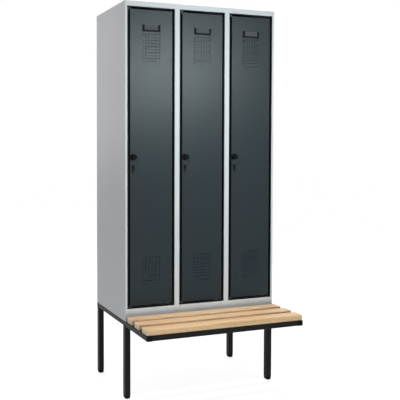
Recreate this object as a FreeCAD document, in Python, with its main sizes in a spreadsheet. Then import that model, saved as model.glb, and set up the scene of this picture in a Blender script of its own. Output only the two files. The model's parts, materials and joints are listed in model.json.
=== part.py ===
import FreeCAD, Part

import os
import re

import Sketcher

Vector = FreeCAD.Vector
Rotation = FreeCAD.Rotation

doc = FreeCAD.newDocument("locker_with_bench")

# Driving dimensions, in millimetres

SIZES = {
    # sheet-steel carcass
    "carcass_width": 900,
    "carcass_depth": 500,
    "carcass_height": 1700,
    "sheet": 1,
    "fold": 18,
    "roof_bend": 8,
    # front frame around the three door openings
    "stile_width": 11,
    "mullion_width": 28,
    "top_rail_height": 28,
    "bottom_rail_height": 65,
    "frame_depth": 24,
    "stop_reach": 26,
    "lip_height": 10,
    "lip_step": 4,
    # inside each compartment
    "shelf_drop": 300,
    "shelf_setback": 45,
    "rod_radius": 8,
    "rod_drop": 60,
    "rod_setback": 250,
    "socket_radius": 13,
    "socket_depth": 10,
    # black rubber profile lining each opening
    "seal_thickness": 3,
    "seal_setback": 1.5,
    # doors
    "door_gap": 16,
    "door_depth": 20,
    "door_lip": 10,
    "hole_size": 6,
    "hole_pitch": 16,
    "hole_columns": 7,
    "hole_rows": 10,
    "upper_field_drop": 125,
    "lower_field_rise": 110,
    "label_width": 102,
    "label_height": 36,
    "label_depth": 3,
    "label_rim": 8,
    "label_drop": 78,
    "stiffener_width": 60,
    "stiffener_depth": 15,
    "stiffener_flange": 12,
    "stiffener_margin": 30,
    # hinge pins and their bushes
    "pin_inset": 8,
    "pin_setback": 8,
    "pin_radius": 4,
    "pin_root": 15,
    "bush_radius": 5.5,
    "bush_length": 6,
    "bush_flange_radius": 7,
    "bush_flange_thickness": 2.5,
    # turn lock
    "lock_inset": 18,
    "lock_rise": 7,
    "rosette_radius": 17,
    "rosette_depth": 4,
    "barrel_radius": 6.5,
    "neck_radius": 6,
    "neck_length": 9,
    "knob_radius": 14,
    "knob_depth": 10,
    "knob_bevel": 2,
    "shaft_radius": 4,
    "slot_width": 1.6,
    "slot_height": 9,
    "slot_depth": 6,
    "cam_width": 12,
    "cam_thickness": 3,
    "cam_hook": 12,
    "cam_gap": 2,
    # spare key on its wire loop
    "loop_radius": 27.5,
    "wire_radius": 0.8,
    "loop_standoff": 10,
    "bow_width": 17,
    "bow_height": 24,
    "bow_thickness": 4,
    "bow_hole_radius": 2.5,
    "bow_rim": 3,
    "blade_width": 7,
    "blade_length": 18,
    "blade_thickness": 2,
    # square-tube base frame
    "base_height": 420,
    "rail_width": 30,
    "rail_height": 28,
    "leg_depth": 40,
    "tube_wall": 2,
    "cap_thickness": 3,
    "plug_length": 12,
    "glide_height": 18,
    "glide_round": 8,
    # wooden bench
    "slat_width": 70,
    "slat_gap": 36,
    "slat_thickness": 30,
    "slat_setback": 2,
    "slat_rear_gap": 26,
    "slat_end_inset": 1,
    "slat_round": 5,
    # fixings
    "bolt_radius": 3,
    "bolt_head_radius": 5.5,
    "bolt_head_height": 4,
    "bolt_inset": 80,
    "screw_radius": 2.5,
    "screw_head_radius": 5,
    "screw_head_height": 3,
    "screw_bite": 14,
    "wall_hole_radius": 4,
    "wall_hole_drop": 60,
    "wall_hole_spacing": 600,
    # clearances
    "running_clearance": 0.05,
    "fit_clearance": 0.1,
    "seat_clearance": 0.3,
}

DOOR_COUNT = 3
SLAT_NAMES = ("slat_front", "slat_middle", "slat_rear")

# Places worked out from the driving dimensions

DERIVED = {
    "half_width": "carcass_width / 2",
    "inner_half": "half_width - sheet",
    "stile_inner": "half_width - stile_width",
    "slat_pitch": "slat_width + slat_gap",
    "bench_depth": "slat_setback + 3 * slat_width + 2 * slat_gap + slat_rear_gap",
    "back": "(carcass_depth + bench_depth) / 2",
    "front": "back - carcass_depth",
    "bench_front": "-back",
    "back_panel_front": "back - 2 * sheet",
    "frame_back": "front + frame_depth",
    "stop_front": "frame_back - sheet",
    "top": "base_height + carcass_height",
    "opening_width": "(carcass_width - 2 * stile_width - 2 * mullion_width) / 3",
    "opening_pitch": "opening_width + mullion_width",
    "opening_bottom": "base_height + bottom_rail_height",
    "opening_top": "top - top_rail_height",
    "opening_height": "opening_top - opening_bottom",
    "shelf_top": "top - shelf_drop",
    "rod_z": "shelf_top - fold - rod_drop",
    "rod_y": "front + rod_setback",
    "door_width": "opening_width - 2 * door_gap",
    "door_height": "opening_height - 2 * door_gap",
    "door_bottom": "opening_bottom + door_gap",
    "door_top": "opening_top - door_gap",
    "field_width": "(hole_columns - 1) * hole_pitch + hole_size",
    "field_height": "(hole_rows - 1) * hole_pitch + hole_size",
    "pin_y": "front + pin_setback",
    "lock_z": "(door_bottom + door_top) / 2 + lock_rise",
    "rosette_front": "front - rosette_depth",
    "neck_front": "rosette_front - neck_length",
    "knob_front": "neck_front - knob_depth",
    "cam_front": "frame_back + cam_gap",
    "cam_reach": "lock_inset - (stop_reach - door_gap) + cam_hook",
    "loop_y": "front - loop_standoff",
    "loop_z": "lock_z - (loop_radius - wire_radius - neck_radius - seat_clearance)",
    "bow_hole_z": "loop_z - loop_radius - (bow_hole_radius - wire_radius - seat_clearance)",
    "bow_top": "bow_hole_z + bow_hole_radius + bow_rim",
    "bow_bottom": "bow_top - bow_height",
    "rail_bottom": "base_height - rail_height",
    "rail_inner": "half_width - rail_width",
    "rail_centre": "half_width - rail_width / 2",
    "slat_length": "carcass_width - 2 * slat_end_inset",
}

WORD = re.compile(r"[A-Za-z_][A-Za-z_0-9]*")


def formula(text):
    """Spell out the derived places and point every size at its cell."""

    def spell(match):
        word = match.group(0)
        if word in DERIVED:
            return "(" + formula(DERIVED[word]) + ")"
        if word in SIZES:
            return "sizes." + word
        return word

    return WORD.sub(spell, text)


def fill_sheet():
    """One row for each size: its name, and its value under that name as alias."""
    sheet = doc.addObject("Spreadsheet::Sheet", "sizes")
    for row, (name, value) in enumerate(SIZES.items(), start=1):
        sheet.set(f"A{row}", name)
        sheet.set(f"B{row}", str(value))
        sheet.setAlias(f"B{row}", name)
    doc.recompute()


# Building blocks

TURNS = {
    "x": Rotation(Vector(0, 1, 0), 90),
    "y": Rotation(Vector(1, 0, 0), -90),
    "z": Rotation(),
}
NODES = []


def bind(item, **formulas):
    """Tie properties of an object to the sheet."""
    for name, text in formulas.items():
        item.setExpression(name, formula(text))


def place(item, x="0", y="0", z="0"):
    """Tie an object's position to the sheet."""
    bind(item, **{"Placement.Base.x": x, "Placement.Base.y": y, "Placement.Base.z": z})


def span(limits):
    """Length between a start and an end."""
    return f"({limits[1]}) - ({limits[0]})"


def around(centre, half):
    """Start and end of a length centred on a place."""
    return (f"{centre} - ({half})", f"{centre} + ({half})")


def mirrored(side, limits):
    """Start and end along X, on the right as given or on the left as its mirror image."""
    if side > 0:
        return limits
    return (f"-({limits[1]})", f"-({limits[0]})")


def box(x, y, z):
    """A block between a start and an end along each axis."""
    block = doc.addObject("Part::Box", "Block")
    bind(block, Length=span(x), Width=span(y), Height=span(z))
    place(block, x[0], y[0], z[0])
    return block


def along(axis, x, y, z):
    """Split a bar's position into its base point and its length along one axis."""
    places = {"x": x, "y": y, "z": z}
    length = span(places[axis])
    places[axis] = places[axis][0]
    return places, length


def bar(axis, radius, x, y, z):
    """A round bar: a start and an end along its axis, a centre along the other two."""
    places, length = along(axis, x, y, z)
    cylinder = doc.addObject("Part::Cylinder", "Bar")
    cylinder.Placement = FreeCAD.Placement(Vector(), TURNS[axis])
    bind(cylinder, Radius=radius, Height=length)
    place(cylinder, **places)
    return cylinder


def taper(axis, start_radius, end_radius, x, y, z):
    """A round bar whose radius changes from its start to its end."""
    places, length = along(axis, x, y, z)
    cone = doc.addObject("Part::Cone", "Taper")
    cone.Placement = FreeCAD.Placement(Vector(), TURNS[axis])
    bind(cone, Radius1=start_radius, Radius2=end_radius, Height=length)
    place(cone, **places)
    return cone


def hexagon(radius, x, y, z):
    """An upright hexagonal prism, for bolt heads and nuts."""
    places, length = along("z", x, y, z)
    prism = doc.addObject("Part::Prism", "Hexagon")
    prism.Polygon = 6
    bind(prism, Circumradius=radius, Height=length)
    place(prism, **places)
    return prism


def fuse(*pieces):
    """One solid from touching blocks, as folds of one sheet or steps of one turned part."""
    joined = doc.addObject("Part::MultiFuse", "Joined")
    joined.Shapes = list(pieces)
    joined.Refine = True
    return joined


def collect(pieces):
    """Several solids kept apart in one object."""
    collection = doc.addObject("Part::Compound", "Collection")
    collection.Links = list(pieces)
    return collection


def cut(base, *tools):
    """A block with other blocks taken out of it."""
    result = doc.addObject("Part::Cut", "Holed")
    result.Base = base
    result.Tool = tools[0] if len(tools) == 1 else collect(tools)
    result.Refine = True
    return result


def tube(axis, x, y, z):
    """A square tube, open at both ends along its axis."""
    limits = {"x": x, "y": y, "z": z}
    inside = {
        name: ends if name == axis else (f"{ends[0]} + tube_wall", f"{ends[1]} - tube_wall")
        for name, ends in limits.items()
    }
    return cut(box(**limits), box(**inside))


def node(item, label):
    """Name a finished sub-part."""
    item.Label = label
    NODES.append(item)
    return item


# Bodies drawn as sketches


def new_body(x="0", y="0", z="0"):
    """An empty body whose position is tied to the sheet."""
    body = doc.addObject("PartDesign::Body", "Body")
    place(body, x, y, z)
    return body


def sketch_on(body, role, lift="0"):
    """A sketch on one of the body's own planes, lifted along that plane's normal."""
    sketch = body.newObject("Sketcher::SketchObject", "Outline")
    plane = next(item for item in body.Origin.OriginFeatures if item.Role == role)
    sketch.AttachmentSupport = [(plane, "")]
    sketch.MapMode = "FlatFace"
    sketch.setExpression("AttachmentOffset.Base.z", formula(lift))
    return sketch


def hold(sketch, kind, ends, text):
    """A dimension of a sketch, tied to the sheet."""
    index = sketch.addConstraint(Sketcher.Constraint(kind, *ends, 1.0))
    sketch.setExpression(f"Constraints[{index}]", formula(text))


def rectangle(sketch, x, y, width, height):
    """A rectangle whose lower left corner stands at x, y of the sketch."""
    first = sketch.GeometryCount
    corners = [Vector(1, 1), Vector(2, 1), Vector(2, 2), Vector(1, 2)]
    for start, end in zip(corners, corners[1:] + corners[:1]):
        sketch.addGeometry(Part.LineSegment(start, end))
    for step in range(4):
        following = first + (step + 1) % 4
        sketch.addConstraint(Sketcher.Constraint("Coincident", first + step, 2, following, 1))
        direction = "Vertical" if step % 2 else "Horizontal"
        sketch.addConstraint(Sketcher.Constraint(direction, first + step))
    hold(sketch, "DistanceX", (-1, 1, first, 1), x)
    hold(sketch, "DistanceY", (-1, 1, first, 1), y)
    hold(sketch, "DistanceX", (first, 1, first, 2), width)
    hold(sketch, "DistanceY", (first + 1, 1, first + 1, 2), height)


def circle(sketch, x, y, radius):
    """A circle round x, y of the sketch."""
    index = sketch.addGeometry(Part.Circle(Vector(1, 1), Vector(0, 0, 1), 1))
    hold(sketch, "DistanceX", (-1, 1, index, 3), x)
    hold(sketch, "DistanceY", (-1, 1, index, 3), y)
    hold(sketch, "Radius", (index,), radius)


def pad(body, sketch, length, backwards=False):
    """Thicken a sketch; backwards is against its plane's normal."""
    feature = body.newObject("PartDesign::Pad", "Pad")
    feature.Profile = sketch
    feature.Reversed = backwards
    bind(feature, Length=length)
    return feature


def pocket(body, sketch, length=None, upwards=False):
    """Cut a sketch away, through everything where no depth is given."""
    feature = body.newObject("PartDesign::Pocket", "Pocket")
    feature.Profile = sketch
    feature.Refine = False
    feature.Reversed = upwards
    if length is None:
        feature.Type = "ThroughAll"
    else:
        bind(feature, Length=length)
    return feature


def fillet(body, feature, radius, chosen):
    """Round the edges of a feature that the test picks out."""
    doc.recompute()
    names = [f"Edge{number}" for number, edge in enumerate(feature.Shape.Edges, start=1) if chosen(edge)]
    rounding = body.newObject("PartDesign::Fillet", "Rounding")
    rounding.Base = (feature, names)
    bind(rounding, Radius=radius)
    return rounding


# Sheet-steel carcass


def side_panel(side, label):
    """Outer wall with its folded stile, rear fold and foot fold; the left one also carries a door stop."""
    wall_x = mirrored(side, ("inner_half", "half_width"))
    corner = cut(
        box(wall_x, ("front", "front + roof_bend"), ("top - roof_bend", "top")),
        bar("x", "roof_bend", wall_x, "front + roof_bend", "top - roof_bend"),
    )
    wall = cut(box(wall_x, ("front", "back"), ("base_height", "top")), corner)
    stile_z = ("base_height", "top - roof_bend")
    folds = [
        box(mirrored(side, ("stile_inner", "half_width")), ("front", "front + sheet"), stile_z),
        box(mirrored(side, ("stile_inner", "stile_inner + sheet")), ("front", "frame_back"), stile_z),
        box(
            mirrored(side, ("inner_half - fold", "half_width")),
            ("back - sheet", "back"),
            ("base_height", "top - sheet"),
        ),
        cut(
            box(
                mirrored(side, ("rail_inner", "half_width")),
                ("frame_back", "back"),
                ("base_height", "base_height + sheet"),
            ),
            *bolt_bores(side, ("base_height - sheet", "base_height + 2 * sheet")),
        ),
    ]
    if side < 0:
        folds.append(door_stop("-stile_inner"))
    return node(fuse(wall, *folds), label)


def door_stop(edge):
    """Fold behind a door's lock side, which the seal backs on and the cam hooks behind."""
    return box(
        (edge, f"{edge} + stop_reach"),
        ("stop_front", "frame_back"),
        ("opening_bottom", "opening_top"),
    )


def partition(side, label):
    """Dividing wall with the hollow post that shows between two doors."""
    centre = f"{side} * opening_pitch / 2"
    post_z = ("opening_bottom", "opening_top")
    post = cut(
        box(around(centre, "mullion_width / 2"), ("front", "frame_back"), post_z),
        box(around(centre, "mullion_width / 2 - sheet"), ("front + sheet", "stop_front"), post_z),
    )
    wall = box(
        around(centre, "sheet / 2"),
        ("frame_back", "back_panel_front"),
        ("opening_bottom", "top - sheet"),
    )
    return node(fuse(post, wall, door_stop(f"{centre} + mullion_width / 2")), label)


def hinge_x(index):
    """Where a door's hinge axis stands along X."""
    return f"{index - 1} * opening_pitch + door_width / 2 - pin_inset"


def bush_bores(z):
    """Holes for the hinge bushes in one rail of the front frame."""
    radius = "bush_radius + fit_clearance"
    return [bar("z", radius, hinge_x(index), "pin_y", z) for index in range(DOOR_COUNT)]


def roof_panel():
    """Roof sheet bent down into the top rail, with a shelf-like return that holds the upper bushes."""
    full_x = ("-inner_half", "inner_half")
    rail_x = ("-stile_inner", "stile_inner")
    plate = box(full_x, ("front + roof_bend", "back"), ("top - sheet", "top"))
    bend = cut(
        bar("x", "roof_bend", full_x, "front + roof_bend", "top - roof_bend"),
        bar("x", "roof_bend - sheet", full_x, "front + roof_bend", "top - roof_bend"),
        box(full_x, ("front + roof_bend", "front + 2 * roof_bend"), ("top - 2 * roof_bend", "top")),
        box(full_x, ("front", "front + roof_bend"), ("top - 2 * roof_bend", "top - roof_bend")),
    )
    rail = box(rail_x, ("front", "front + sheet"), ("opening_top", "top - roof_bend"))
    ledge_z = ("opening_top", "opening_top + sheet")
    ledge = cut(box(rail_x, ("front", "frame_back"), ledge_z), *bush_bores(ledge_z))
    side_folds = [
        box(
            mirrored(side, ("inner_half - sheet", "inner_half")),
            ("frame_back + fold", "back_panel_front - fold"),
            ("top - sheet - fold", "top - sheet"),
        )
        for side in (-1, 1)
    ]
    return node(fuse(plate, bend, rail, ledge, *side_folds), "roof_panel")


def floor_panel():
    """Floor sheet with the bottom rail: a front lip, and below it an apron set back a little."""
    rail_x = ("-stile_inner", "stile_inner")
    floor_z = ("opening_bottom - sheet", "opening_bottom")
    plate = box(("-inner_half", "inner_half"), ("frame_back", "back_panel_front"), floor_z)
    ledge = cut(box(rail_x, ("front", "frame_back"), floor_z), *bush_bores(floor_z))
    lip_bottom = "opening_bottom - lip_height"
    lip = box(rail_x, ("front", "front + sheet"), (lip_bottom, "opening_bottom"))
    step = box(rail_x, ("front", "front + lip_step"), (lip_bottom, f"{lip_bottom} + sheet"))
    apron = box(
        rail_x,
        ("front + lip_step - sheet", "front + lip_step"),
        ("base_height", f"{lip_bottom} + sheet"),
    )
    side_folds = [
        box(
            mirrored(side, ("inner_half - sheet", "inner_half")),
            ("frame_back + fold", "back_panel_front - fold"),
            ("opening_bottom - sheet - fold", "opening_bottom - sheet"),
        )
        for side in (-1, 1)
    ]
    return node(fuse(plate, ledge, lip, step, apron, *side_folds), "floor_panel")


def back_panel():
    """Flat rear sheet with two holes for fixing the locker to a wall."""
    sheet_y = ("back_panel_front", "back - sheet")
    plate = box(("-inner_half", "inner_half"), sheet_y, ("base_height + sheet", "top - sheet"))
    holes = [
        bar("y", "wall_hole_radius", f"{side} * wall_hole_spacing / 2", sheet_y, "top - wall_hole_drop")
        for side in (-1, 1)
    ]
    return node(cut(plate, *holes), "back_panel")


def compartment(index):
    """Left and right wall of a compartment, along X."""
    left = "-inner_half" if index == 0 else f"{2 * index - 3} * opening_pitch / 2 + sheet / 2"
    right = "inner_half" if index == DOOR_COUNT - 1 else f"{2 * index - 1} * opening_pitch / 2 - sheet / 2"
    return (left, right)


def hat_shelf(index):
    """Shelf sheet with its front, rear and side edges folded down."""
    left, right = compartment(index)
    shelf_y = ("front + shelf_setback", "back_panel_front")
    fold_z = ("shelf_top - fold", "shelf_top")
    plate = box((left, right), shelf_y, ("shelf_top - sheet", "shelf_top"))
    folds = [
        box((left, right), (shelf_y[0], f"{shelf_y[0]} + sheet"), fold_z),
        box((left, right), (f"{shelf_y[1]} - sheet", shelf_y[1]), fold_z),
        box((left, f"{left} + sheet"), shelf_y, fold_z),
        box((f"{right} - sheet", right), shelf_y, fold_z),
    ]
    return node(fuse(plate, *folds), f"hat_shelf_{index + 1}")


def clothes_rails():
    """A round rail across each compartment, and the sockets that hold its ends on the walls."""
    rails = []
    sockets = []
    for index in range(DOOR_COUNT):
        left, right = compartment(index)
        rail_x = (f"{left} + seat_clearance", f"{right} - seat_clearance")
        rails.append(bar("x", "rod_radius", rail_x, "rod_y", "rod_z"))
        for socket_x in ((left, f"{left} + socket_depth"), (f"{right} - socket_depth", right)):
            sockets.append(
                cut(
                    bar("x", "socket_radius", socket_x, "rod_y", "rod_z"),
                    bar("x", "rod_radius + fit_clearance", socket_x, "rod_y", "rod_z"),
                )
            )
    node(collect(rails), "clothes_rails")
    node(collect(sockets), "rail_sockets")


def hinge_bushes():
    """Plastic flanged bushes in the top and bottom rails."""
    bushes = []
    upper_flange = ("opening_top - bush_flange_thickness", "opening_top")
    upper_barrel = ("opening_top", "opening_top + sheet + bush_length")
    lower_flange = ("opening_bottom", "opening_bottom + bush_flange_thickness")
    lower_barrel = ("opening_bottom - sheet - bush_length", "opening_bottom")
    for index in range(DOOR_COUNT):
        for flange_z, barrel_z in ((upper_flange, upper_barrel), (lower_flange, lower_barrel)):
            at = (hinge_x(index), "pin_y")
            outside = fuse(
                bar("z", "bush_flange_radius", *at, flange_z),
                bar("z", "bush_radius", *at, barrel_z),
            )
            bore = fuse(
                bar("z", "pin_radius + running_clearance", *at, flange_z),
                bar("z", "pin_radius + running_clearance", *at, barrel_z),
            )
            bushes.append(cut(outside, bore))
    return node(collect(bushes), "hinge_bushes")


def door_seal(index):
    """Black rubber frame lining one opening, with a flat leg that the door's lock side closes on."""
    body = new_body(f"{index - 1} * opening_pitch - opening_width / 2", "front", "opening_bottom")
    liner = sketch_on(body, "XZ_Plane", "-seal_setback")
    rectangle(liner, "0", "0", "opening_width", "opening_height")
    rectangle(
        liner,
        "seal_thickness",
        "seal_thickness",
        "opening_width - 2 * seal_thickness",
        "opening_height - 2 * seal_thickness",
    )
    pad(body, liner, "frame_depth - sheet - seal_setback", backwards=True)
    leg = sketch_on(body, "XZ_Plane", "-(door_depth + seat_clearance)")
    rectangle(leg, "0", "0", "stop_reach - seal_thickness", "opening_height")
    pad(body, leg, "frame_depth - sheet - door_depth - seat_clearance", backwards=True)
    holes = sketch_on(body, "XY_Plane")
    circle(
        holes,
        "opening_width - door_gap - pin_inset",
        "pin_setback",
        "bush_flange_radius + seat_clearance",
    )
    pocket(body, holes, upwards=True)
    return node(body, f"door_seal_{index + 1}")


# Doors


def door_left(index):
    """Where a door's left edge stands along X."""
    return f"{index - 1} * opening_pitch - door_width / 2"


def repeat(hole, axis, count):
    """One direction in which the air holes are repeated."""
    step = doc.addObject("PartDesign::LinearPattern", "Repeat")
    step.Direction = (hole, [axis])
    step.Mode = "Spacing"
    bind(step, Offset="hole_pitch", Occurrences=count)
    return step


def perforated_field(body, bottom):
    """A field of square air holes, centred across the door."""
    hole = sketch_on(body, "XZ_Plane")
    rectangle(hole, "(door_width - field_width) / 2", bottom, "hole_size", "hole_size")
    first = pocket(body, hole, "sheet")
    doc.recompute()
    field = body.newObject("PartDesign::MultiTransform", "Field")
    field.Originals = [first]
    field.Refine = False
    field.Transformations = [repeat(hole, "H_Axis", "hole_columns"), repeat(hole, "V_Axis", "hole_rows")]
    body.Tip = field


def door_panel(index):
    """Folded door tray: front sheet, flanges, return lips, air holes and holes for lock and pins."""
    body = new_body(door_left(index), "front", "door_bottom")
    face = sketch_on(body, "XZ_Plane")
    rectangle(face, "0", "0", "door_width", "door_height")
    pad(body, face, "sheet", backwards=True)
    flanges = sketch_on(body, "XZ_Plane")
    rectangle(flanges, "0", "0", "door_width", "door_height")
    rectangle(flanges, "sheet", "sheet", "door_width - 2 * sheet", "door_height - 2 * sheet")
    pad(body, flanges, "door_depth", backwards=True)
    lips = sketch_on(body, "XZ_Plane", "sheet - door_depth")
    rectangle(lips, "0", "0", "door_width", "door_height")
    rectangle(lips, "door_lip", "door_lip", "door_width - 2 * door_lip", "door_height - 2 * door_lip")
    pad(body, lips, "sheet", backwards=True)
    lock_hole = sketch_on(body, "XZ_Plane")
    circle(lock_hole, "lock_inset", "door_height / 2 + lock_rise", "barrel_radius + fit_clearance")
    pocket(body, lock_hole)
    pin_holes = sketch_on(body, "XY_Plane")
    circle(pin_holes, "door_width - pin_inset", "pin_setback", "pin_radius + running_clearance")
    pocket(body, pin_holes, upwards=True)
    perforated_field(body, "lower_field_rise")
    perforated_field(body, "door_height - upper_field_drop - field_height")
    return node(body, f"door_panel_{index + 1}")


def door_stiffener(index):
    """Hat-shaped channel welded behind the door sheet, between the two fields of air holes."""
    centre = f"{index - 1} * opening_pitch"
    z = (
        "door_bottom + lower_field_rise + field_height + stiffener_margin",
        "door_top - upper_field_drop - field_height - stiffener_margin",
    )
    web_y = ("front + stiffener_depth - sheet", "front + stiffener_depth")
    parts = [box(around(centre, "stiffener_width / 2"), web_y, z)]
    for side in (-1, 1):
        wall = mirrored(side, ("stiffener_width / 2 - sheet", "stiffener_width / 2"))
        foot = mirrored(side, ("stiffener_width / 2 - sheet", "stiffener_width / 2 + stiffener_flange"))
        shifted = [tuple(f"{centre} + ({end})" for end in ends) for ends in (wall, foot)]
        parts.append(box(shifted[0], ("front + sheet", "front + stiffener_depth"), z))
        parts.append(box(shifted[1], ("front + sheet", "front + 2 * sheet"), z))
    return node(fuse(*parts), f"door_stiffener_{index + 1}")


def label_holder(index):
    """Open-topped frame on the door for a name card."""
    centre = f"{index - 1} * opening_pitch"
    left, right = around(centre, "label_width / 2")
    z = ("door_top - label_drop - label_height", "door_top - label_drop")
    rim_y = ("front - label_depth", "front")
    parts = [
        box((left, right), ("front - sheet", "front"), z),
        box((left, f"{left} + label_rim"), rim_y, z),
        box((f"{right} - label_rim", right), rim_y, z),
        box((left, right), rim_y, (z[0], f"{z[0]} + label_rim")),
    ]
    return node(fuse(*parts), f"label_holder_{index + 1}")


def hinge_pins(index):
    """Upper and lower pin of a door; the lower one has a collar that carries the door on its bush."""
    at = (hinge_x(index), "pin_y")
    upper = bar("z", "pin_radius", *at, ("door_top - pin_root", "opening_top + sheet + bush_length"))
    lower = fuse(
        bar("z", "pin_radius", *at, ("opening_bottom - sheet - bush_length", "door_bottom + pin_root")),
        bar(
            "z",
            "bush_radius",
            *at,
            ("opening_bottom + bush_flange_thickness + seat_clearance", "door_bottom"),
        ),
    )
    return node(collect([upper, lower]), f"hinge_pins_{index + 1}")


# Turn lock and spare key


def lock_x(index):
    """Where a lock's axis stands along X."""
    return f"{door_left(index)} + lock_inset"


def turned(index, radius, start, end):
    """A round step of a lock, along its axis."""
    return bar("y", radius, lock_x(index), (start, end), "lock_z")


def lock_housing(index):
    """Rosette on the door and the barrel behind it, bored for the lock's shaft."""
    outside = fuse(
        turned(index, "rosette_radius", "rosette_front", "front"),
        turned(index, "barrel_radius", "front", "cam_front"),
    )
    bore = turned(index, "shaft_radius + running_clearance", "rosette_front", "cam_front")
    return node(cut(outside, bore), f"lock_housing_{index + 1}")


def lock_knob(index):
    """Round knob with its key slot, the neck that the key loop hangs on, and the shaft."""
    neck_back = "rosette_front - seat_clearance"
    shaft_end = "cam_front + seat_clearance + 2 * cam_thickness"
    solid = fuse(
        taper(
            "y",
            "knob_radius - knob_bevel",
            "knob_radius",
            lock_x(index),
            ("knob_front", "knob_front + knob_bevel"),
            "lock_z",
        ),
        turned(index, "knob_radius", "knob_front + knob_bevel", "neck_front"),
        turned(index, "neck_radius", "neck_front", neck_back),
        turned(index, "shaft_radius", neck_back, shaft_end),
    )
    slot = box(
        around(lock_x(index), "slot_width / 2"),
        ("knob_front", "knob_front + slot_depth"),
        around("lock_z", "slot_height / 2"),
    )
    return node(cut(solid, slot), f"lock_knob_{index + 1}")


def lock_cam(index):
    """Flat bolt on the shaft; it hangs down when open and turns sideways behind the door stop."""
    start = "cam_front + seat_clearance"
    end = f"{start} + cam_thickness"
    plate = fuse(
        turned(index, "cam_width / 2", start, end),
        box(around(lock_x(index), "cam_width / 2"), (start, end), ("lock_z - cam_reach", "lock_z")),
    )
    return node(
        cut(plate, turned(index, "shaft_radius + running_clearance", start, end)),
        f"lock_cam_{index + 1}",
    )


def key_loop(index):
    """Wire loop hanging round the neck of the knob."""
    loop = doc.addObject("Part::Torus", "Loop")
    loop.Placement = FreeCAD.Placement(Vector(), TURNS["y"])
    bind(loop, Radius1="loop_radius", Radius2="wire_radius")
    place(loop, lock_x(index), "loop_y", "loop_z")
    return node(loop, f"key_loop_{index + 1}")


def key(index):
    """Spare key, hanging edge-on to the door with the loop through its bow."""
    bow_x = around(lock_x(index), "bow_thickness / 2")
    bow_radius = "bow_width / 2"
    upper = f"bow_top - {bow_radius}"
    lower = f"bow_bottom + {bow_radius}"
    solid = fuse(
        bar("x", bow_radius, bow_x, "loop_y", upper),
        bar("x", bow_radius, bow_x, "loop_y", lower),
        box(bow_x, around("loop_y", bow_radius), (lower, upper)),
        box(
            around(lock_x(index), "blade_thickness / 2"),
            around("loop_y", "blade_width / 2"),
            ("bow_bottom - blade_length", lower),
        ),
    )
    hole = bar("x", "bow_hole_radius", bow_x, "loop_y", "bow_hole_z")
    return node(cut(solid, hole), f"key_{index + 1}")


# Base frame and bench


def bolt_places(side):
    """Where the bolts between carcass and side rail stand along X and Y."""
    return [(f"{side} * rail_centre", y) for y in ("front + bolt_inset", "back - bolt_inset")]


def bolt_bores(side, z):
    """Clearance holes for those bolts."""
    return [bar("z", "bolt_radius + seat_clearance", x, y, z) for x, y in bolt_places(side)]


def slat_front(order):
    """Front edge of a slat along Y, counted from the front of the bench."""
    return f"bench_front + slat_setback + {order} * slat_pitch"


def screw_places(side):
    """Where the slat screws stand along X and Y: two under each end of every slat."""
    return [
        (f"{side} * rail_centre", f"{slat_front(order)} + {quarter} * slat_width / 4")
        for order in range(len(SLAT_NAMES))
        for quarter in (1, 3)
    ]


def screw_bores(side, z):
    """Clearance holes for those screws."""
    return [bar("z", "screw_radius + seat_clearance", x, y, z) for x, y in screw_places(side)]


def side_rail(side, label):
    """Tube from the back of the locker to the front of the bench."""
    rail_z = ("rail_bottom", "base_height")
    rail = tube(
        "y",
        mirrored(side, ("rail_inner", "half_width")),
        ("bench_front + cap_thickness", "back - cap_thickness"),
        rail_z,
    )
    return node(cut(rail, *bolt_bores(side, rail_z), *screw_bores(side, rail_z)), label)


def cross_rails():
    """Tubes between the side rails: at the back, under the carcass front and at the bench front."""
    starts = {
        "cross_rail_rear": "back - rail_width",
        "cross_rail_middle": "front",
        "cross_rail_front": "bench_front",
    }
    rail_z = ("rail_bottom", "base_height")
    for label, start in starts.items():
        ends = (start, f"{start} + rail_width")
        node(tube("x", ("-rail_inner", "rail_inner"), ends, rail_z), label)
    bearer_y = ("bench_front + rail_width", "front")
    node(tube("y", around("0", "rail_width / 2"), bearer_y, rail_z), "centre_bearer")


LEGS = {
    "leg_front_left": (-1, "front"),
    "leg_front_right": (1, "front"),
    "leg_rear_left": (-1, "back - leg_depth"),
    "leg_rear_right": (1, "back - leg_depth"),
}


def legs():
    """Four tubes welded under the side rails."""
    for label, (side, start) in LEGS.items():
        leg_x = mirrored(side, ("rail_inner", "half_width"))
        leg_y = (start, f"{start} + leg_depth")
        node(tube("z", leg_x, leg_y, ("glide_height", "rail_bottom")), label)


def foot_glide(side, start):
    """Plastic foot with rounded lower edges and a plug that sits in the leg."""
    body = new_body("-half_width" if side < 0 else "rail_inner", start)
    outline = sketch_on(body, "XY_Plane")
    rectangle(outline, "0", "0", "rail_width", "leg_depth")
    block = pad(body, outline, "glide_height")
    fillet(body, block, "glide_round", lambda edge: edge.CenterOfMass.z < block.Length.Value * 0.75)
    plug = sketch_on(body, "XY_Plane", "glide_height")
    inset = "tube_wall + fit_clearance"
    rectangle(plug, inset, inset, f"rail_width - 2 * ({inset})", f"leg_depth - 2 * ({inset})")
    pad(body, plug, "plug_length")
    return body


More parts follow.
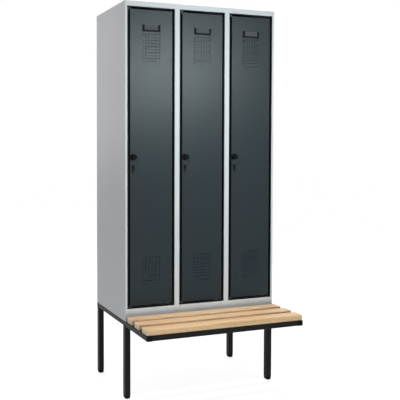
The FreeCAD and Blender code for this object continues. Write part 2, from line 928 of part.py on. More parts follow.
def rail_end_caps():
    """Plastic plugs that close the four ends of the side rails."""
    inset = "tube_wall + fit_clearance"
    caps = []
    for side in (-1, 1):
        plate_x = mirrored(side, ("rail_inner", "half_width"))
        plug_x = mirrored(side, (f"rail_inner + {inset}", f"half_width - ({inset})"))
        plug_z = (f"rail_bottom + {inset}", f"base_height - ({inset})")
        ends = (
            (("bench_front", "bench_front + cap_thickness"), "bench_front + cap_thickness", 1),
            (("back - cap_thickness", "back"), "back - cap_thickness", -1),
        )
        for plate_y, mouth, inward in ends:
            tip = f"{mouth} + {inward} * plug_length"
            plug_y = (mouth, tip) if inward > 0 else (tip, mouth)
            plate = box(plate_x, plate_y, ("rail_bottom", "base_height"))
            plug = cut(box(plug_x, plug_y, plug_z), *screw_bores(side, plug_z))
            caps.append(fuse(plate, plug))
    return node(collect(caps), "rail_end_caps")


def runs_along_x(edge):
    """Whether an edge of a block lies along X."""
    size = edge.BoundBox
    return size.XLength > max(size.YLength, size.ZLength)


def slat(order, label):
    """Beech board with rounded long edges, drilled from below for its screws."""
    body = new_body("-slat_length / 2", slat_front(order), "base_height")
    outline = sketch_on(body, "XY_Plane")
    rectangle(outline, "0", "0", "slat_length", "slat_width")
    board = pad(body, outline, "slat_thickness")
    rounded = fillet(body, board, "slat_round", runs_along_x)
    holes = sketch_on(body, "XY_Plane")
    for end in ("half_width - rail_centre - slat_end_inset", "half_width + rail_centre - slat_end_inset"):
        for quarter in (1, 3):
            circle(holes, end, f"{quarter} * slat_width / 4", "screw_radius + running_clearance")
    doc.recompute()
    pocket(body, holes, "screw_bite + seat_clearance", upwards=True)
    check_smaller(body, rounded)
    return node(body, label)


def check_smaller(body, before):
    """Stop if the last cut of a body took nothing away."""
    doc.recompute()
    if body.Shape.Volume >= before.Shape.Volume:
        raise RuntimeError(f"a cut in {body.Name} took nothing away")


def slat_screws():
    """Pan-head screws from below, through the side rails into the slats."""
    head_z = ("rail_bottom - screw_head_height", "rail_bottom")
    shank_z = ("rail_bottom", "base_height + screw_bite")
    screws = [
        fuse(bar("z", "screw_head_radius", x, y, head_z), bar("z", "screw_radius", x, y, shank_z))
        for side in (-1, 1)
        for x, y in screw_places(side)
    ]
    return node(collect(screws), "slat_screws")


def carcass_bolts():
    """Hexagon bolts up through the side rails, with nuts on the carcass's foot folds."""
    head_z = ("rail_bottom - bolt_head_height", "rail_bottom")
    nut_z = ("base_height + sheet", "base_height + sheet + bolt_head_height")
    shank_z = ("rail_bottom", f"{nut_z[1]} + bolt_radius")
    pieces = []
    for side in (-1, 1):
        for x, y in bolt_places(side):
            head = hexagon("bolt_head_radius", x, y, head_z)
            pieces.append(fuse(head, bar("z", "bolt_radius", x, y, shank_z)))
            thread = bar("z", "bolt_radius + running_clearance", x, y, nut_z)
            pieces.append(cut(hexagon("bolt_head_radius", x, y, nut_z), thread))
    return node(collect(pieces), "carcass_bolts")


def build():
    """Every sub-part, from the carcass out to the bench."""
    fill_sheet()
    side_panel(-1, "side_panel_left")
    side_panel(1, "side_panel_right")
    partition(-1, "partition_left")
    partition(1, "partition_right")
    roof_panel()
    floor_panel()
    back_panel()
    clothes_rails()
    hinge_bushes()
    for index in range(DOOR_COUNT):
        hat_shelf(index)
        door_seal(index)
        door_panel(index)
        door_stiffener(index)
        label_holder(index)
        hinge_pins(index)
        lock_housing(index)
        lock_knob(index)
        lock_cam(index)
        key_loop(index)
        key(index)
    side_rail(-1, "side_rail_left")
    side_rail(1, "side_rail_right")
    cross_rails()
    legs()
    node(collect([foot_glide(side, start) for side, start in LEGS.values()]), "foot_glides")
    rail_end_caps()
    for order, label in enumerate(SLAT_NAMES):
        slat(order, label)
    slat_screws()
    carcass_bolts()
    doc.recompute()


def check_and_write():
    """Stop at any failed object, then write one file for each sub-part."""
    for item in doc.Objects:
        if "Invalid" in item.State or "Error" in item.State:
            raise RuntimeError(f"{item.Name} failed: {item.State}")
    for item in NODES:
        if item.Shape.isNull() or not item.Shape.isValid() or not item.Shape.Solids:
            raise RuntimeError(f"{item.Label} has no sound shape")
    os.makedirs("parts", exist_ok=True)
    for item in NODES:
        item.Shape.exportStep(f"parts/{item.Label}.step")


build()
check_and_write()
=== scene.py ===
import json
import math

import bmesh
import bpy
from mathutils import Matrix, Vector

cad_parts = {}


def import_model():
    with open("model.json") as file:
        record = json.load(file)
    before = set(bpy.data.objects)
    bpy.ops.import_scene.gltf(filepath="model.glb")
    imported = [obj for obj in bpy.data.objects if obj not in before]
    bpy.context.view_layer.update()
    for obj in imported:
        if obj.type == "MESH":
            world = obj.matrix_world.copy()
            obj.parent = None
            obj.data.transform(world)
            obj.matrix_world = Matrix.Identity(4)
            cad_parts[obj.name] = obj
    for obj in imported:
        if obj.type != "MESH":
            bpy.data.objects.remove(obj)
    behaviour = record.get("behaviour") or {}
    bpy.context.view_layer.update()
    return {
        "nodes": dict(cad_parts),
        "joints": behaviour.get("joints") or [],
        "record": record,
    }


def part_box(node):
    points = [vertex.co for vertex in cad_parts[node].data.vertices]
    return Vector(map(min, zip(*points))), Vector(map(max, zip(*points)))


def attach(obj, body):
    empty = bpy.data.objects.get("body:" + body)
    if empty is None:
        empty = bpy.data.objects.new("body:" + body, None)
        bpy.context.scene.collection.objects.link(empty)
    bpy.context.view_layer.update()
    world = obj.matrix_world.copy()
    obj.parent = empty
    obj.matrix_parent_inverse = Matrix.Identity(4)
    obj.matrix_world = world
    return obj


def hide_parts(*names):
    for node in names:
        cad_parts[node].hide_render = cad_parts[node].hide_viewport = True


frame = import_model()

MM = 0.001
DOORS = (1, 2, 3)
SMOOTH_ANGLE = math.radians(32)
WELD_DISTANCE = 1e-6

# Materials

# Sockets of the Mix node when it mixes colours
MIX_SHARE, MIX_FIRST, MIX_SECOND = 0, 6, 7
MIX_RESULT = 2


class Surface:
    """A node material, with short ways to add nodes and join them to its shader."""

    def __init__(self, name):
        self.material = bpy.data.materials.new(name)
        self.material.use_nodes = True
        self.tree = self.material.node_tree
        self.shader = next(n for n in self.tree.nodes if n.type == "BSDF_PRINCIPLED")
        coordinates = self.add("ShaderNodeTexCoord")
        self.place = coordinates.outputs["Object"]
        self.normal = coordinates.outputs["Normal"]

    def add(self, kind, **settings):
        """A new node with these properties."""
        node = self.tree.nodes.new(kind)
        for name, value in settings.items():
            setattr(node, name, value)
        return node

    def join(self, output, target):
        self.tree.links.new(output, target)

    def set(self, **values):
        """Numbers that are the same all over, set on the shader itself."""
        for name, value in values.items():
            socket = name.replace("_", " ").title().replace("Ior", "IOR")
            self.shader.inputs[socket].default_value = value

    def stretched(self, scale, offset=(0, 0, 0)):
        """Coordinates scaled differently along each axis."""
        mapping = self.add("ShaderNodeMapping")
        mapping.inputs["Scale"].default_value = scale
        mapping.inputs["Location"].default_value = offset
        self.join(self.place, mapping.inputs["Vector"])
        return mapping.outputs["Vector"]

    def noise(self, scale=1.0, detail=2.0, roughness=0.5, vector=None):
        """Cloudy noise over the object, or over coordinates of its own."""
        texture = self.add("ShaderNodeTexNoise")
        texture.inputs["Scale"].default_value = scale
        texture.inputs["Detail"].default_value = detail
        texture.inputs["Roughness"].default_value = roughness
        self.join(vector or self.place, texture.inputs["Vector"])
        return texture.outputs["Fac"]

    def spread(self, value, low, high, start=0.3, end=0.7):
        """A value's range from start to end, stretched to run from low to high."""
        stretch = self.add("ShaderNodeMapRange")
        for name, number in (("From Min", start), ("From Max", end), ("To Min", low), ("To Max", high)):
            stretch.inputs[name].default_value = number
        self.join(value, stretch.inputs["Value"])
        return stretch.outputs["Result"]

    def ramp(self, value, *stops):
        """A colour for each value of a texture."""
        ramp = self.add("ShaderNodeValToRGB")
        elements = ramp.color_ramp.elements
        while len(elements) < len(stops):
            elements.new(1.0)
        for element, (position, colour) in zip(elements, stops):
            element.position = position
            element.color = (*colour, 1.0)
        self.join(value, ramp.inputs["Fac"])
        return ramp.outputs["Color"]

    def mix(self, share, first, second):
        """A plain colour laid over another colour by a texture's share."""
        mixer = self.add("ShaderNodeMix", data_type="RGBA")
        self.join(share, mixer.inputs[MIX_SHARE])
        self.join(first, mixer.inputs[MIX_FIRST])
        mixer.inputs[MIX_SECOND].default_value = (*second, 1.0)
        return mixer.outputs[MIX_RESULT]

    def facing_x(self):
        """One on faces square to the X axis, and none on the others."""
        parts = self.add("ShaderNodeSeparateXYZ")
        self.join(self.normal, parts.inputs["Vector"])
        size = self.add("ShaderNodeMath", operation="ABSOLUTE")
        self.join(parts.outputs["X"], size.inputs[0])
        return self.spread(size.outputs["Value"], 0.0, 1.0, start=0.4, end=0.9)

    def colour(self, output):
        self.join(output, self.shader.inputs["Base Color"])

    def roughness(self, output):
        self.join(output, self.shader.inputs["Roughness"])

    def bump(self, height, strength, distance, soft_edges=0.0):
        """Fine relief, over edges that catch light as if rounded."""
        relief = self.add("ShaderNodeBump")
        relief.inputs["Strength"].default_value = strength
        relief.inputs["Distance"].default_value = distance
        self.join(height, relief.inputs["Height"])
        if soft_edges:
            edges = self.add("ShaderNodeBevel", samples=4)
            edges.inputs["Radius"].default_value = soft_edges
            self.join(edges.outputs["Normal"], relief.inputs["Normal"])
        self.join(relief.outputs["Normal"], self.shader.inputs["Normal"])


def shade(colour, factor):
    """A colour made lighter or darker."""
    return tuple(min(1.0, channel * factor) for channel in colour)


def powder_coat(name, colour, gloss, specular):
    """Baked powder paint: fine orange peel, and slight clouds in its colour and gloss."""
    gloss_drift = 0.012
    surface = Surface(name)
    clouds = surface.noise(scale=2.2, detail=3)
    speckle = surface.noise(scale=420, detail=1)
    gloss_clouds = surface.noise(scale=34, detail=3)
    peel = surface.noise(scale=760, detail=2)
    base = surface.ramp(clouds, (0.35, shade(colour, 0.98)), (0.65, shade(colour, 1.02)))
    grains = surface.spread(speckle, 0.0, 0.10)
    surface.colour(surface.mix(grains, base, shade(colour, 0.7)))
    surface.roughness(surface.spread(gloss_clouds, gloss - gloss_drift, gloss + gloss_drift))
    surface.bump(peel, strength=0.10, distance=0.4 * MM, soft_edges=0.8 * MM)
    surface.set(specular_ior_level=specular)
    return surface.material


def moulded_plastic(name, colour, gloss, grain, specular=0.18):
    """Matt plastic or rubber with an even moulded grain and a few paler scuffs."""
    surface = Surface(name)
    scuffs = surface.noise(scale=26, detail=6, roughness=0.7)
    wear = surface.noise(scale=90, detail=4)
    mould = surface.noise(scale=grain, detail=2)
    surface.colour(surface.ramp(scuffs, (0.45, colour), (0.75, shade(colour, 1.7))))
    surface.roughness(surface.spread(wear, gloss - 0.06, gloss + 0.08))
    surface.bump(mould, strength=0.18, distance=0.3 * MM, soft_edges=0.6 * MM)
    surface.set(specular_ior_level=specular)
    return surface.material


def plated_steel(name, colour, gloss, lines):
    """Plated steel with fine drawn lines and faint clouding."""
    surface = Surface(name)
    clouds = surface.noise(scale=60, detail=4)
    drawn = surface.noise(detail=3, vector=surface.stretched(lines))
    surface.colour(surface.ramp(clouds, (0.3, shade(colour, 0.8)), (0.7, colour)))
    surface.roughness(surface.spread(drawn, gloss - 0.08, gloss + 0.1))
    surface.bump(drawn, strength=0.12, distance=0.2 * MM)
    surface.set(metallic=1.0)
    return surface.material


def beech(name, seed, tint):
    """Lacquered beech along X: growth bands, fine pores, short dark flecks, and a painted highlight that
    makes the board ends paler.
    """
    light = shade((0.70, 0.47, 0.27), tint)
    dark = shade((0.53, 0.325, 0.165), tint)
    fleck = (0.24, 0.12, 0.05)
    # Pale colour of the painted highlight on the board ends, not a colour of the wood itself
    end_highlight = (0.80, 0.63, 0.46)
    surface = Surface(name)
    offset = (seed * 3.7, seed * 1.3, seed * 2.1)
    long_bands = surface.stretched((1.6, 34, 34), offset)
    long_pores = surface.stretched((14, 620, 620), offset)
    short_marks = surface.stretched((70, 520, 260), offset)
    waves = surface.noise(detail=4, roughness=0.55, vector=long_bands)
    pores = surface.noise(detail=3, roughness=0.7, vector=long_pores)
    marks = surface.noise(detail=1, vector=short_marks)
    pore_share = surface.spread(pores, 0.0, 0.30)
    fleck_share = surface.spread(marks, 0.0, 0.6, start=0.64, end=0.74)
    bands = surface.ramp(waves, (0.28, light), (0.50, shade(light, 0.93)), (0.72, dark))
    grain = surface.mix(pore_share, bands, shade(dark, 0.86))
    flecked = surface.mix(fleck_share, grain, fleck)
    # Painted highlight: faces square to X, the board ends, are mixed towards a pale colour
    surface.colour(surface.mix(surface.facing_x(), flecked, end_highlight))
    surface.roughness(surface.spread(waves, 0.44, 0.56))
    surface.bump(pores, strength=0.10, distance=0.3 * MM)
    surface.set(specular_ior_level=0.28, coat_weight=0.12, coat_roughness=0.35)
    return surface.material


def blank_card(name):
    """Uncoated grey card with visible fibres."""
    darker, lighter = (0.054, 0.059, 0.063), (0.067, 0.073, 0.078)
    surface = Surface(name)
    fibres = surface.noise(detail=5, roughness=0.7, vector=surface.stretched((900, 900, 300)))
    surface.colour(surface.ramp(fibres, (0.3, darker), (0.7, lighter)))
    surface.roughness(surface.spread(fibres, 0.7, 0.9))
    surface.bump(fibres, strength=0.2, distance=0.2 * MM)
    return surface.material


FINISHES = {
    "light_grey_paint": powder_coat("light_grey_paint", (0.60, 0.612, 0.625), gloss=0.42, specular=0.30),
    "anthracite_paint": powder_coat(
        "anthracite_paint", (0.0162, 0.0251, 0.0301), gloss=0.33, specular=0.20
    ),
    "black_paint": powder_coat("black_paint", (0.0122, 0.0122, 0.0128), gloss=0.42, specular=0.08),
    "black_plastic": moulded_plastic(
        "black_plastic", (0.0035, 0.0035, 0.004), gloss=0.66, grain=900, specular=0.10
    ),
    "seal_rubber": moulded_plastic(
        "seal_rubber", (0.014, 0.015, 0.016), gloss=0.40, grain=1400, specular=0.32
    ),
    "beech": beech("beech", seed=0, tint=1.0),
    "dark_steel": plated_steel("dark_steel", (0.028, 0.028, 0.030), gloss=0.46, lines=(900, 900, 60)),
    "bright_steel": plated_steel("bright_steel", (0.62, 0.62, 0.60), gloss=0.34, lines=(900, 40, 900)),
}
CARD = blank_card("card")
KEY_PLASTIC = moulded_plastic("key_plastic", (0.020, 0.025, 0.027), gloss=0.60, grain=900)
CYLINDER_STEEL = plated_steel("cylinder_steel", (0.010, 0.010, 0.011), gloss=0.50, lines=(900, 60, 900))

# Every CAD sub-part takes the finish of its slot
for entry in frame["record"]["subparts"]:
    cad_object = frame["nodes"][entry["node"]]
    cad_object.data.materials.clear()
    cad_object.data.materials.append(FINISHES[entry["material_slot"]])

# Mesh building


def finish_mesh(name, mesh):
    """Weld a mesh, turn its faces outward and smooth its rounded parts."""
    work = bmesh.new()
    work.from_mesh(mesh)
    bmesh.ops.remove_doubles(work, verts=work.verts, dist=WELD_DISTANCE)
    bmesh.ops.recalc_face_normals(work, faces=work.faces)
    work.to_mesh(mesh)
    work.free()
    mesh.name = name
    for polygon in mesh.polygons:
        polygon.use_smooth = True
    mesh.set_sharp_from_angle(angle=SMOOTH_ANGLE)
    return mesh


def add_piece(name, mesh, body, slot, material=None, replaced=()):
    """Put a finished mesh on its body, with its finish and the sub-parts it stands for."""
    item = bpy.data.objects.new(name, finish_mesh(name, mesh))
    bpy.context.scene.collection.objects.link(item)
    item.data.materials.append(material or FINISHES[slot])
    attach(item, body)
    if replaced:
        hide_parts(*replaced)


def mesh_from(vertices, faces):
    mesh = bpy.data.meshes.new("piece")
    mesh.from_pydata(vertices, [], faces)
    return mesh


def ring_faces(first, second, count):
    """Quads between two closed loops of vertices that start at these numbers."""
    faces = []
    for i in range(count):
        following = (i + 1) % count
        faces.append((first + i, first + following, second + following, second + i))
    return faces


def rounded_rectangle(half_width, half_height, radius, steps=5):
    """Corner points of a rectangle with round corners, in order."""
    points = []
    for corner, (side, height) in enumerate(((1, 1), (-1, 1), (-1, -1), (1, -1))):
        centre = (side * (half_width - radius), height * (half_height - radius))
        for step in range(steps + 1):
            angle = math.radians(90 * (corner + step / steps))
            points.append((centre[0] + radius * math.cos(angle), centre[1] + radius * math.sin(angle)))
    return points


def rounded_box(low, high, radius, segments):
    """A block whose edges are all rounded."""
    work = bmesh.new()
    bmesh.ops.create_cube(work, size=1.0)
    centre, size = (low + high) / 2, high - low
    for vertex in work.verts:
        vertex.co = Vector(vertex.co[i] * size[i] + centre[i] for i in range(3))
    bmesh.ops.bevel(
        work, geom=work.edges[:], offset=radius, segments=segments, profile=0.5, affect="EDGES"
    )
    mesh = bpy.data.meshes.new("block")
    work.to_mesh(mesh)
    work.free()
    return mesh


def tube(low, high, axis, corner, wall):
    """A square tube with round corners, open at its ends."""
    first_side, second_side = [i for i in range(3) if i != axis]
    centre, half = (low + high) / 2, (high - low) / 2
    vertices, loops = [], []
    for inset in (0.0, wall):
        outline = rounded_rectangle(half[first_side] - inset, half[second_side] - inset, corner - inset)
        for end in (low[axis], high[axis]):
            loops.append(len(vertices))
            for u, v in outline:
                point = Vector((0.0, 0.0, 0.0))
                point[axis] = end
                point[first_side] = centre[first_side] + u
                point[second_side] = centre[second_side] + v
                vertices.append(point)
    outer_low, outer_high, inner_low, inner_high = loops
    walls = (
        (outer_low, outer_high),
        (outer_high, inner_high),
        (inner_high, inner_low),
        (inner_low, outer_low),
    )
    faces = []
    for first, second in walls:
        faces += ring_faces(first, second, len(outline))
    return mesh_from(vertices, faces)


def lathe(axis_point, profile, steps, flutes=0, flute_depth=0.0, fluted_rows=()):
    """A turned piece round an axis along Y, from a closed profile of radius and y. Rows may be fluted."""
    vertices = []
    for row, (radius, y) in enumerate(profile):
        for step in range(steps):
            angle = 2 * math.pi * step / steps
            wave = (1 + math.cos(flutes * angle)) / 2 if row in fluted_rows else 0.0
            reach = radius - flute_depth * wave
            x = axis_point.x + reach * math.cos(angle)
            z = axis_point.z + reach * math.sin(angle)
            vertices.append(Vector((x, y, z)))
    faces = []
    for row in range(len(profile)):
        following = (row + 1) % len(profile)
        faces += ring_faces(row * steps, following * steps, steps)
    return mesh_from(vertices, faces)


def plate(outlines, thickness, bevel, origin, across, up):
    """A flat plate with softened edges. Outlines inside another one become holes."""
    curve = bpy.data.curves.new("plate", "CURVE")
    curve.dimensions = "2D"
    curve.fill_mode = "BOTH"
    curve.extrude = thickness / 2 - bevel
    curve.bevel_depth = bevel
    curve.bevel_resolution = 2
    curve.offset = -bevel
    for outline in outlines:
        spline = curve.splines.new("POLY")
        spline.points.add(len(outline) - 1)
        for point, (u, v) in zip(spline.points, outline):
            point.co = (u, v, 0.0, 1.0)
        spline.use_cyclic_u = True
    holder = bpy.data.objects.new("plate", curve)
    bpy.context.scene.collection.objects.link(holder)
    filled = holder.evaluated_get(bpy.context.evaluated_depsgraph_get())
    mesh = bpy.data.meshes.new_from_object(filled)
    bpy.data.objects.remove(holder)
    bpy.data.curves.remove(curve)
    across, up = Vector(across), Vector(up)
    turn = Matrix((across, up, across.cross(up))).transposed().to_4x4()
    mesh.transform(Matrix.Translation(origin) @ turn)
    return mesh


def ring(centre, radius, steps):
    """Points of a circle."""
    points = []
    for step in range(steps):
        angle = 2 * math.pi * step / steps
        points.append((centre[0] + radius * math.cos(angle), centre[1] + radius * math.sin(angle)))
    return points


# Bench and base frame

ALONG_X, ALONG_Y, ALONG_Z = range(3)
TUBE_CORNER = 4 * MM
TUBE_WALL = 2 * MM
TUBES = {
    "side_rail_left": ALONG_Y,
    "side_rail_right": ALONG_Y,
    "cross_rail_rear": ALONG_X,
    "cross_rail_middle": ALONG_X,
    "cross_rail_front": ALONG_X,
    "centre_bearer": ALONG_Y,
    "leg_front_left": ALONG_Z,
    "leg_front_right": ALONG_Z,
    "leg_rear_left": ALONG_Z,
    "leg_rear_right": ALONG_Z,
}

# Each board's run of grain, and how light its wood is
BOARDS = {"slat_front": (1, 1.10), "slat_middle": (2, 1.01), "slat_rear": (3, 1.05)}
BOARD_ROUND = 5 * MM
BOARD_SEGMENTS = 4


def base_frame():
    """Square tubes with round corners."""
    for node, axis in TUBES.items():
        low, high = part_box(node)
        mesh = tube(low, high, axis, TUBE_CORNER, TUBE_WALL)
        add_piece(f"tube_{node}", mesh, "carcass", "black_paint", replaced=(node,))


def bench():
    """Three beech boards, each with its own run of grain."""
    for node, (seed, tint) in BOARDS.items():
        low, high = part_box(node)
        wood = beech(f"beech_{node}", seed, tint)
        mesh = rounded_box(low, high, BOARD_ROUND, BOARD_SEGMENTS)
        add_piece(f"board_{node}", mesh, "carcass", "beech", wood, replaced=(node,))


# Locks

LOCK_BORE = 4.05 * MM
LOCK_BARREL = 6.5 * MM
ROSETTE_STEPS = 56
GROOVE_INNER = 11.0 * MM
GROOVE_OUTER = 13.0 * MM
GROOVE_SLOPE = 0.4 * MM
GROOVE_DEPTH = 0.7 * MM

KNOB_STEPS = 120
KNOB_FLUTES = 20
FLUTE_DEPTH = 0.9 * MM
KNOB_DEPTH = 10 * MM
GRIP_FRONT = 2.4 * MM
GRIP_BACK = 1.4 * MM
NECK_RADIUS = 6 * MM
NECK_END = 4.3 * MM
SHAFT_RADIUS = 4 * MM
SHAFT_CORE = 0.4 * MM
SEAT_RADIUS = 6.8 * MM
SEAT_CHAMFER_WIDTH = 0.2 * MM
SEAT_CHAMFER_DEPTH = 0.6 * MM
SEAT_DEPTH = 8 * MM

CYLINDER_STEPS = 32
CYLINDER_RADIUS = 6.7 * MM
CYLINDER_DEPTH = 6 * MM
CYLINDER_RECESS = 0.5 * MM
SLOT_HALF_WIDTH = 0.8 * MM
SLOT_HALF_HEIGHT = 4.5 * MM
SLOT_FLOOR = 1 * MM

# Round edges, as steps in from the rim and back from the face, in millimetres
ROSETTE_EDGE = ((2.2, 0.0), (0.9, 0.5), (0.2, 1.5), (0.0, 2.6))
KNOB_FRONT_EDGE = ((2.4, 0.0), (1.0, 0.5), (0.3, 1.3))
KNOB_BACK_EDGE = ((0.5, 0.5), (1.6, 0.0))


def lock_axis(door):
    """Where a lock's axis meets the front of its door."""
    joint = next(j for j in frame["joints"] if j["name"] == f"lock_{door}_turn")
    return Vector(joint["pos_m"])


def lock_rosette(door):
    """Turned cover on the door with a rounded rim and a groove, and the barrel behind it."""
    node = f"lock_housing_{door}"
    axis = lock_axis(door)
    low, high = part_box(node)
    front, back, door_face = low.y, high.y, axis.y
    rim = high.x - axis.x
    groove_floor = front + GROOVE_DEPTH
    groove = [
        (GROOVE_INNER, front),
        (GROOVE_INNER + GROOVE_SLOPE, groove_floor),
        (GROOVE_OUTER - GROOVE_SLOPE, groove_floor),
        (GROOVE_OUTER, front),
    ]
    edge = [(rim - inset * MM, front + depth * MM) for inset, depth in ROSETTE_EDGE]
    barrel = [(rim, door_face), (LOCK_BARREL, door_face), (LOCK_BARREL, back), (LOCK_BORE, back)]
    mesh = lathe(axis, [(LOCK_BORE, front)] + groove + edge + barrel, ROSETTE_STEPS)
    add_piece(f"rosette_{door}", mesh, f"door_{door}", "black_plastic", replaced=(node,))


def lock_knob(door):
    """Fluted knob with a seat for the cylinder, its neck and its shaft."""
    node = f"lock_knob_{door}"
    axis = lock_axis(door)
    low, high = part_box(node)
    front, tail = low.y, high.y
    rim = high.x - axis.x
    back = front + KNOB_DEPTH
    seat_floor = front + SEAT_DEPTH
    neck_end = axis.y - NECK_END
    face = [(SEAT_RADIUS, front + SEAT_CHAMFER_DEPTH), (SEAT_RADIUS + SEAT_CHAMFER_WIDTH, front)]
    face += [(rim - inset * MM, front + depth * MM) for inset, depth in KNOB_FRONT_EDGE]
    grip = [(rim, front + GRIP_FRONT), (rim, back - GRIP_BACK)]
    rear = [(rim - inset * MM, back - depth * MM) for inset, depth in KNOB_BACK_EDGE]
    rear += [(NECK_RADIUS, back), (NECK_RADIUS, neck_end), (SHAFT_RADIUS, neck_end), (SHAFT_RADIUS, tail)]
    seat = [(SHAFT_CORE, tail), (SHAFT_CORE, seat_floor), (SEAT_RADIUS, seat_floor)]
    fluted_rows = range(len(face), len(face) + len(grip))
    mesh = lathe(axis, face + grip + rear + seat, KNOB_STEPS, KNOB_FLUTES, FLUTE_DEPTH, fluted_rows)
    add_piece(f"knob_{door}", mesh, f"lock_{door}", "black_plastic", replaced=(node,))


def slot_point(u, v):
    """The point of the key slot's edge that lies in the same direction as a point of the rim."""
    nearly_nothing = 1e-9
    side_reach = SLOT_HALF_WIDTH / max(abs(u), nearly_nothing)
    end_reach = SLOT_HALF_HEIGHT / max(abs(v), nearly_nothing)
    reach = min(side_reach, end_reach)
    return u * reach, v * reach


def lock_cylinder(door):
    """Face of the lock cylinder in the knob, with its key slot."""
    axis = lock_axis(door)
    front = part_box(f"lock_knob_{door}")[0].y + CYLINDER_RECESS
    back = front + CYLINDER_DEPTH
    steps = CYLINDER_STEPS
    rim = ring((0.0, 0.0), CYLINDER_RADIUS, steps)
    slot = [slot_point(u, v) for u, v in rim]
    rows = [(rim, back), (rim, front), (slot, front), (slot, back - SLOT_FLOOR)]
    vertices = [Vector((axis.x + u, y, axis.z + v)) for outline, y in rows for u, v in outline]
    faces = []
    for row in range(len(rows) - 1):
        faces += ring_faces(row * steps, (row + 1) * steps, steps)
    slot_floor = range(3 * steps, 4 * steps)
    rear_face = reversed(range(steps))
    faces += [tuple(slot_floor), tuple(rear_face)]
    mesh = mesh_from(vertices, faces)
    add_piece(f"cylinder_{door}", mesh, f"lock_{door}", "dark_steel", CYLINDER_STEEL)


# Spare keys

BOW_STEPS = 16
BOW_BEVEL = 0.9 * MM
BOW_HOLE_DROP = 5.5 * MM
BOW_HOLE_RADIUS = 2.5 * MM
BOW_HOLE_STEPS = 24
BLADE_LENGTH = 18 * MM
BLADE_HALF_WIDTH = 3.5 * MM
BLADE_THICKNESS = 2 * MM
BLADE_BEVEL = 0.25 * MM
TANG_LENGTH = 3 * MM
TIP_HEIGHT = 2 * MM
TIP_SLOPE = 2.5 * MM
TIP_END = 1 * MM
FIRST_CUT = 2.5 * MM
UNCUT_LENGTH = 7 * MM

# Depth of each cut in the blade, in millimetres, and where a cut starts, ends and is out again
BITTING = (1.6, 0.6, 2.2, 1.0, 1.8)
CUT_START, CUT_END, CUT_OUT = 0.3, 0.6, 0.95


def bow_outline(radius, low, high):
    """A key's bow with a round upper and lower end."""
    points = []
    for centre, start in ((high - radius, 0), (low + radius, 180)):
        for step in range(BOW_STEPS + 1):
            angle = math.radians(start + 180 * step / BOW_STEPS)
            points.append((radius * math.cos(angle), centre + radius * math.sin(angle)))
    return points


def blade_outline(low, bow_low):
    """A key's blade from its tang inside the bow, round its tip and up along the cuts."""
    half = BLADE_HALF_WIDTH
    tang = bow_low + TANG_LENGTH
    points = [(-half, tang), (-half, low + TIP_HEIGHT), (TIP_SLOPE - half, low), (TIP_END, low)]
    pitch = (BLADE_LENGTH - UNCUT_LENGTH) / len(BITTING)
    for number, depth in enumerate(BITTING):
        start = low + FIRST_CUT + number * pitch
        points.append((half - depth * MM, start + CUT_START * pitch))
        points.append((half - depth * MM, start + CUT_END * pitch))
        points.append((half, start + CUT_OUT * pitch))
    points.append((half, tang))
    return points


def spare_key(door):
    """Key hanging edge-on: a plastic bow with the loop's hole, and a cut steel blade."""
    node = body = f"key_{door}"
    low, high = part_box(node)
    middle = (low + high) / 2
    bow_low = low.z + BLADE_LENGTH
    axes = {"across": (0, 1, 0), "up": (0, 0, 1)}
    origin = Vector((middle.x, middle.y, 0.0))
    bow = bow_outline((high.y - low.y) / 2, bow_low, high.z)
    hole = ring((0.0, high.z - BOW_HOLE_DROP), BOW_HOLE_RADIUS, BOW_HOLE_STEPS)
    mesh = plate([bow, hole], high.x - low.x, BOW_BEVEL, origin, **axes)
    add_piece(f"key_bow_{door}", mesh, body, "black_plastic", KEY_PLASTIC, replaced=(node,))
    mesh = plate([blade_outline(low.z, bow_low)], BLADE_THICKNESS, BLADE_BEVEL, origin, **axes)
    add_piece(f"key_blade_{door}", mesh, body, "dark_steel")


# Label holders

LABEL_SIDE_RIM = 12 * MM
LABEL_LOWER_RIM = 8.5 * MM
LABEL_CORNER = 3 * MM
LABEL_BEVEL = 0.8 * MM
CARD_MARGIN = 2 * MM
CARD_CORNER = 1 * MM
CARD_THICKNESS = 1 * MM
CARD_BEVEL = 0.1 * MM
CARD_SETBACK = 0.55 * MM


def label_outline(half_width, half_height):
    """An open-topped frame: round the two lower corners outside, and back along the card's edges."""
    corners = rounded_rectangle(half_width, half_height, LABEL_CORNER)
    lower = corners[len(corners) // 2 :]
    inner_x, inner_z = half_width - LABEL_SIDE_RIM, LABEL_LOWER_RIM - half_height
    return lower + [
        (half_width, half_height),
        (inner_x, half_height),
        (inner_x, inner_z),
        (-inner_x, inner_z),
        (-inner_x, half_height),
        (-half_width, half_height),
    ]


def label_holder(door):
    """Black frame, open at the top, and the blank card in it."""
    node = f"label_holder_{door}"
    low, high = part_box(node)
    middle, half = (low + high) / 2, (high - low) / 2
    axes = {"across": (1, 0, 0), "up": (0, 0, 1)}
    mesh = plate([label_outline(half.x, half.z)], high.y - low.y, LABEL_BEVEL, middle, **axes)
    add_piece(f"label_frame_{door}", mesh, f"door_{door}", "black_plastic", replaced=(node,))
    card = rounded_rectangle(half.x - CARD_MARGIN, half.z - CARD_MARGIN, CARD_CORNER)
    origin = Vector((middle.x, high.y - CARD_SETBACK, middle.z))
    mesh = plate([card], CARD_THICKNESS, CARD_BEVEL, origin, **axes)
    add_piece(f"label_card_{door}", mesh, f"door_{door}", "anthracite_paint", CARD)


def build_pieces():
    base_frame()
    bench()
    for door in DOORS:
        lock_rosette(door)
        lock_knob(door)
        lock_cylinder(door)
        spare_key(door)
        label_holder(door)


# Floor, light and camera

FLOOR_SIZE = 60.0
FLOOR_COLOUR = (0.55, 0.55, 0.55, 1.0)
FLOOR_GLOW = 0.745
WHITE = (1.0, 1.0, 1.0)
COOL_WHITE = (0.86, 0.98, 1.0)
WORLD_LEVEL = 0.46
FULL_BEAM = 180


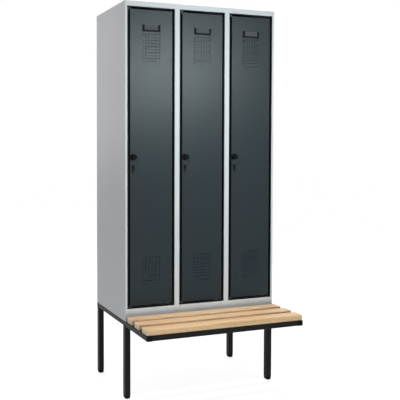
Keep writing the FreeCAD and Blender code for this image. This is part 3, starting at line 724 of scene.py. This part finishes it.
def light_path_share(tree):
    """One for rays from the camera, a mirror reflection or a clear surface, and none for the others."""
    path = tree.nodes.new("ShaderNodeLightPath")
    total = path.outputs["Is Camera Ray"]
    for name in ("Is Glossy Ray", "Is Transmission Ray"):
        larger = tree.nodes.new("ShaderNodeMath")
        larger.operation = "MAXIMUM"
        tree.links.new(total, larger.inputs[0])
        tree.links.new(path.outputs[name], larger.inputs[1])
        total = larger.outputs["Value"]
    return total


def floor_material():
    """Matt floor that also glows where it is looked at, so that it runs into the white background."""
    material = bpy.data.materials.new("floor")
    material.use_nodes = True
    tree = material.node_tree
    tree.nodes.clear()
    matt = tree.nodes.new("ShaderNodeBsdfDiffuse")
    matt.inputs["Color"].default_value = FLOOR_COLOUR
    glow = tree.nodes.new("ShaderNodeEmission")
    strength = tree.nodes.new("ShaderNodeMath")
    strength.operation = "MULTIPLY"
    strength.inputs[1].default_value = FLOOR_GLOW
    both = tree.nodes.new("ShaderNodeAddShader")
    output = tree.nodes.new("ShaderNodeOutputMaterial")
    tree.links.new(light_path_share(tree), strength.inputs[0])
    tree.links.new(strength.outputs["Value"], glow.inputs["Strength"])
    tree.links.new(matt.outputs["BSDF"], both.inputs[0])
    tree.links.new(glow.outputs["Emission"], both.inputs[1])
    tree.links.new(both.outputs["Shader"], output.inputs["Surface"])
    return material


def floor():
    """Pale floor that keeps the object's soft shadow."""
    half = FLOOR_SIZE / 2
    corners = [(-half, -half, 0), (half, -half, 0), (half, half, 0), (-half, half, 0)]
    item = bpy.data.objects.new("floor", mesh_from(corners, [(0, 1, 2, 3)]))
    bpy.context.scene.collection.objects.link(item)
    item.data.materials.append(floor_material())


def world():
    """Even white surroundings, softer as a light than as a background."""
    scene_world = bpy.data.worlds.new("studio")
    scene_world.use_nodes = True
    tree = scene_world.node_tree
    background = next(n for n in tree.nodes if n.type == "BACKGROUND")
    background.inputs["Color"].default_value = (*WHITE, 1.0)
    level = tree.nodes.new("ShaderNodeMapRange")
    level.inputs["To Min"].default_value = WORLD_LEVEL
    level.inputs["To Max"].default_value = 1.0
    tree.links.new(light_path_share(tree), level.inputs["Value"])
    tree.links.new(level.outputs["Result"], background.inputs["Strength"])
    bpy.context.scene.world = scene_world


def lamp(name, position, target, size, power, colour=WHITE, beam=FULL_BEAM, mirrored=True):
    """A soft box of some width and height that looks at a point, with a beam of some degrees."""
    data = bpy.data.lights.new(name, "AREA")
    data.shape = "ELLIPSE"
    data.size, data.size_y = size
    data.energy = power
    data.color = colour
    data.spread = math.radians(beam)
    item = bpy.data.objects.new(name, data)
    item.location = position
    item.rotation_euler = (Vector(target) - Vector(position)).to_track_quat("-Z", "Y").to_euler()
    item.visible_camera = False
    item.visible_glossy = mirrored
    bpy.context.scene.collection.objects.link(item)


def lamps():
    """A cool key for the soft highlight on the doors, a narrow light on the bench, and soft fills."""
    lamp(
        "key",
        position=(1.08, -3.30, 2.19),
        target=(-0.08, -0.1, 1.62),
        size=(1.3, 0.5),
        power=4.6,
        colour=COOL_WHITE,
        beam=46,
    )
    lamp(
        "low_fill",
        position=(0.1, -3.2, 0.33),
        target=(0.0, -0.1, 0.77),
        size=(1.6, 0.2),
        power=34,
        colour=COOL_WHITE,
        mirrored=False,
    )
    lamp(
        "bench_light",
        position=(0.0, -0.34, 3.4),
        target=(0.0, -0.30, 0.45),
        size=(1.7, 0.3),
        power=2.2,
        beam=20,
    )
    lamp("back_fill", position=(0.8, 4.0, 2.4), target=(0.0, 0.4, 1.0), size=(1.8, 1.8), power=38)
    lamp("side_fill", position=(-1.57, 3.5, 2.15), target=(-0.45, 0.2, 1.7), size=(2.2, 2.2), power=15)


IMAGE_SIZE = 400
SENSOR_WIDTH = 36.0

# Fitted to the photograph, in pixels, metres and degrees
FOCAL_PIXELS = 695.0
PRINCIPAL_POINT = (137.2, 172.0)
CAMERA_PLACE = (-1.690, -3.549, 1.352)
CAMERA_YAW = 20.73
CAMERA_PITCH = -2.10


def camera():
    """The photograph's viewpoint, with the frame shifted as the photograph is cropped."""
    data = bpy.data.cameras.new("camera")
    data.sensor_width = SENSOR_WIDTH
    data.lens = FOCAL_PIXELS * SENSOR_WIDTH / IMAGE_SIZE
    data.shift_x = 0.5 - PRINCIPAL_POINT[0] / IMAGE_SIZE
    data.shift_y = PRINCIPAL_POINT[1] / IMAGE_SIZE - 0.5
    item = bpy.data.objects.new("camera", data)
    item.location = CAMERA_PLACE
    item.rotation_euler = (math.radians(90 + CAMERA_PITCH), 0.0, math.radians(-CAMERA_YAW))
    bpy.context.scene.collection.objects.link(item)
    bpy.context.scene.camera = item


build_pieces()
floor()
world()
lamps()
camera()
bpy.context.scene.view_settings.view_transform = "Standard"
